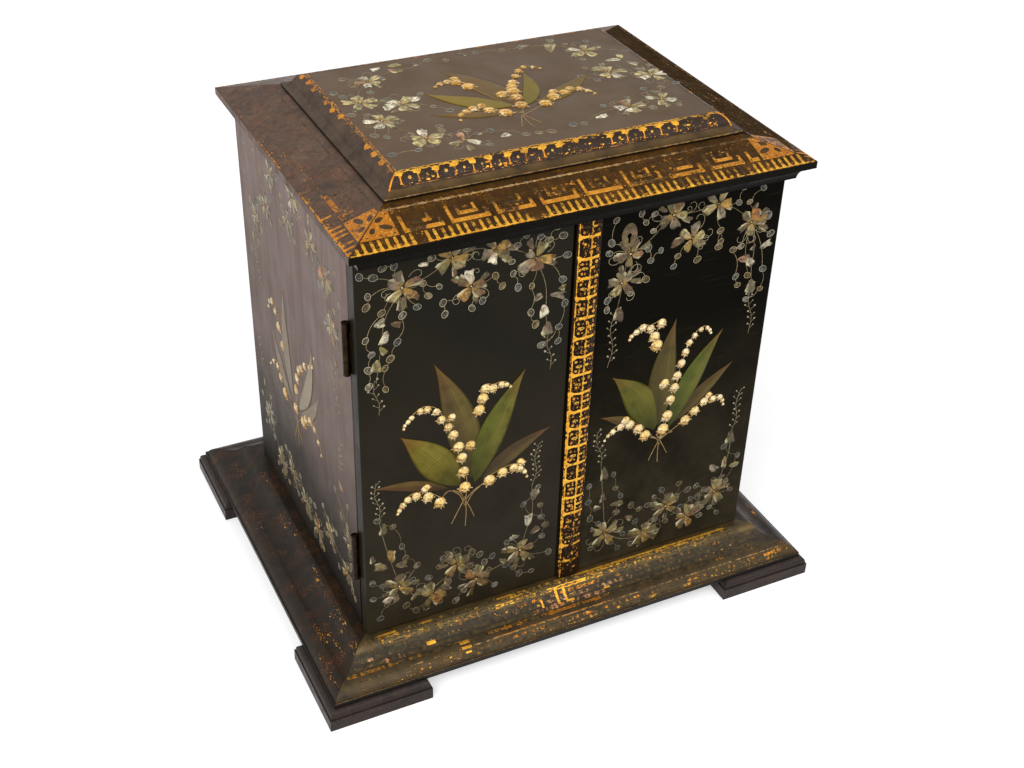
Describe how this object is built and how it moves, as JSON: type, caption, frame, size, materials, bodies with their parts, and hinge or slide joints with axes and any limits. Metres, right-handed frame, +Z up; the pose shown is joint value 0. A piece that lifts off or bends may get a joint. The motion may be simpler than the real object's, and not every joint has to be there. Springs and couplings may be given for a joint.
{
  "type": "table jewellery cabinet",
  "caption": "Black-lacquered table cabinet with inlaid flowers and a worn gilt border: lift-up lid over a divided well, paired doors on outside hinges, and drawers behind them.",
  "frame": {"origin": "on the table under the middle of the four feet", "axes": "+X to the right as one faces the doors, +Y to the back, +Z up"},
  "size_m": [0.3214, 0.263, 0.3058],
  "materials": {
    "lacquer": "polished black lacquer with pearl flowers, painted sprays and worn gilt borders",
    "plinth_lacquer": "black-brown lacquer rubbed brown on the edges, with traces of gilding",
    "inner_wood": "satin",
    "brass": "aged, satin",
    "steel": "satin",
    "pearl": "polished shell",
    "silk": "padded silk"
  },
  "bodies": {
    "case": {"back_panel": "lacquer", "base_board": "inner_wood", "case_side_left": "lacquer", "case_side_right": "lacquer", "centre_divider": "inner_wood", "cornice_back": "lacquer", "cornice_front": "lacquer", "cornice_left": "lacquer", "cornice_right": "lacquer", "drawer_shelves": "inner_wood", "foot_back_left": "plinth_lacquer", "foot_back_right": "plinth_lacquer", "foot_front_left": "plinth_lacquer", "foot_front_right": "plinth_lacquer", "hinge_leaves_case": "brass", "hinge_pins": "brass", "lock_strike": "brass", "nest_side_left": "inner_wood", "nest_side_right": "inner_wood", "plinth_back": "plinth_lacquer", "plinth_front": "plinth_lacquer", "plinth_left": "plinth_lacquer", "plinth_right": "plinth_lacquer", "top_rail": "lacquer", "well_dividers": "inner_wood", "well_floor": "inner_wood", "well_walls": "inner_wood"},
    "door_left": {"door_panel_left": "lacquer", "hinge_leaves_door_left": "brass"},
    "door_right": {"door_panel_right": "lacquer", "hinge_leaves_door_right": "brass", "astragal": "lacquer", "escutcheon": "pearl", "lock_case": "brass"},
    "lid": {"lid_panel": "lacquer", "lid_moulding_front": "lacquer", "lid_moulding_right": "lacquer", "lid_moulding_back": "lacquer", "lid_moulding_left": "lacquer", "lid_lining": "silk", "hinge_leaves_lid": "brass"},
    "lock_bolt": {"lock_bolt": "steel"},
    "drawer_left_bottom": {"drawer_front_left_bottom": "lacquer", "drawer_tray_left_bottom": "inner_wood", "drawer_knob_left_bottom": "brass"},
    "drawer_left_middle": {"drawer_front_left_middle": "lacquer", "drawer_tray_left_middle": "inner_wood", "drawer_knob_left_middle": "brass"},
    "drawer_left_top": {"drawer_front_left_top": "lacquer", "drawer_tray_left_top": "inner_wood", "drawer_knob_left_top": "brass"},
    "drawer_right_bottom": {"drawer_front_right_bottom": "lacquer", "drawer_tray_right_bottom": "inner_wood", "drawer_knob_right_bottom": "brass"},
    "drawer_right_middle": {"drawer_front_right_middle": "lacquer", "drawer_tray_right_middle": "inner_wood", "drawer_knob_right_middle": "brass"},
    "drawer_right_top": {"drawer_front_right_top": "lacquer", "drawer_tray_right_top": "inner_wood", "drawer_knob_right_top": "brass"}
  },
  "joints": [
    {"name": "door_left_hinge", "type": "hinge", "parent": "case", "child": "door_left", "pos_m": [-0.1272, -0.0897, 0.1528], "axis": [0, 0, -1], "range_deg": [0, 180]},
    {"name": "door_right_hinge", "type": "hinge", "parent": "case", "child": "door_right", "pos_m": [0.1272, -0.0897, 0.1528], "axis": [0, 0, 1], "range_deg": [0, 180]},
    {"name": "lid_hinge", "type": "hinge", "parent": "case", "child": "lid", "pos_m": [0, 0.0712, 0.29615], "axis": [-1, 0, 0], "range_deg": [0, 95]},
    {"name": "lock_bolt_slide", "type": "slide", "parent": "door_right", "child": "lock_bolt", "axis": [0, 0, 1], "range_m": [0, 0.0045]},
    {"name": "drawer_left_bottom_slide", "type": "slide", "parent": "case", "child": "drawer_left_bottom", "axis": [0, -1, 0], "range_m": [0, 0.115]},
    {"name": "drawer_left_middle_slide", "type": "slide", "parent": "case", "child": "drawer_left_middle", "axis": [0, -1, 0], "range_m": [0, 0.095]},
    {"name": "drawer_left_top_slide", "type": "slide", "parent": "case", "child": "drawer_left_top", "axis": [0, -1, 0], "range_m": [0, 0.075]},
    {"name": "drawer_right_bottom_slide", "type": "slide", "parent": "case", "child": "drawer_right_bottom", "axis": [0, -1, 0], "range_m": [0, 0.115]},
    {"name": "drawer_right_middle_slide", "type": "slide", "parent": "case", "child": "drawer_right_middle", "axis": [0, -1, 0], "range_m": [0, 0.095]},
    {"name": "drawer_right_top_slide", "type": "slide", "parent": "case", "child": "drawer_right_top", "axis": [0, -1, 0], "range_m": [0, 0.075]}
  ],
  "couplings": [
    {"joint": "drawer_left_bottom_slide", "follows": "door_left_hinge", "m_per_rad": 0.0366},
    {"joint": "drawer_left_middle_slide", "follows": "door_left_hinge", "m_per_rad": 0.0302},
    {"joint": "drawer_left_top_slide", "follows": "door_left_hinge", "m_per_rad": 0.0238},
    {"joint": "drawer_right_bottom_slide", "follows": "door_right_hinge", "m_per_rad": 0.0366},
    {"joint": "drawer_right_middle_slide", "follows": "door_right_hinge", "m_per_rad": 0.0302},
    {"joint": "drawer_right_top_slide", "follows": "door_right_hinge", "m_per_rad": 0.0238}
  ]
}
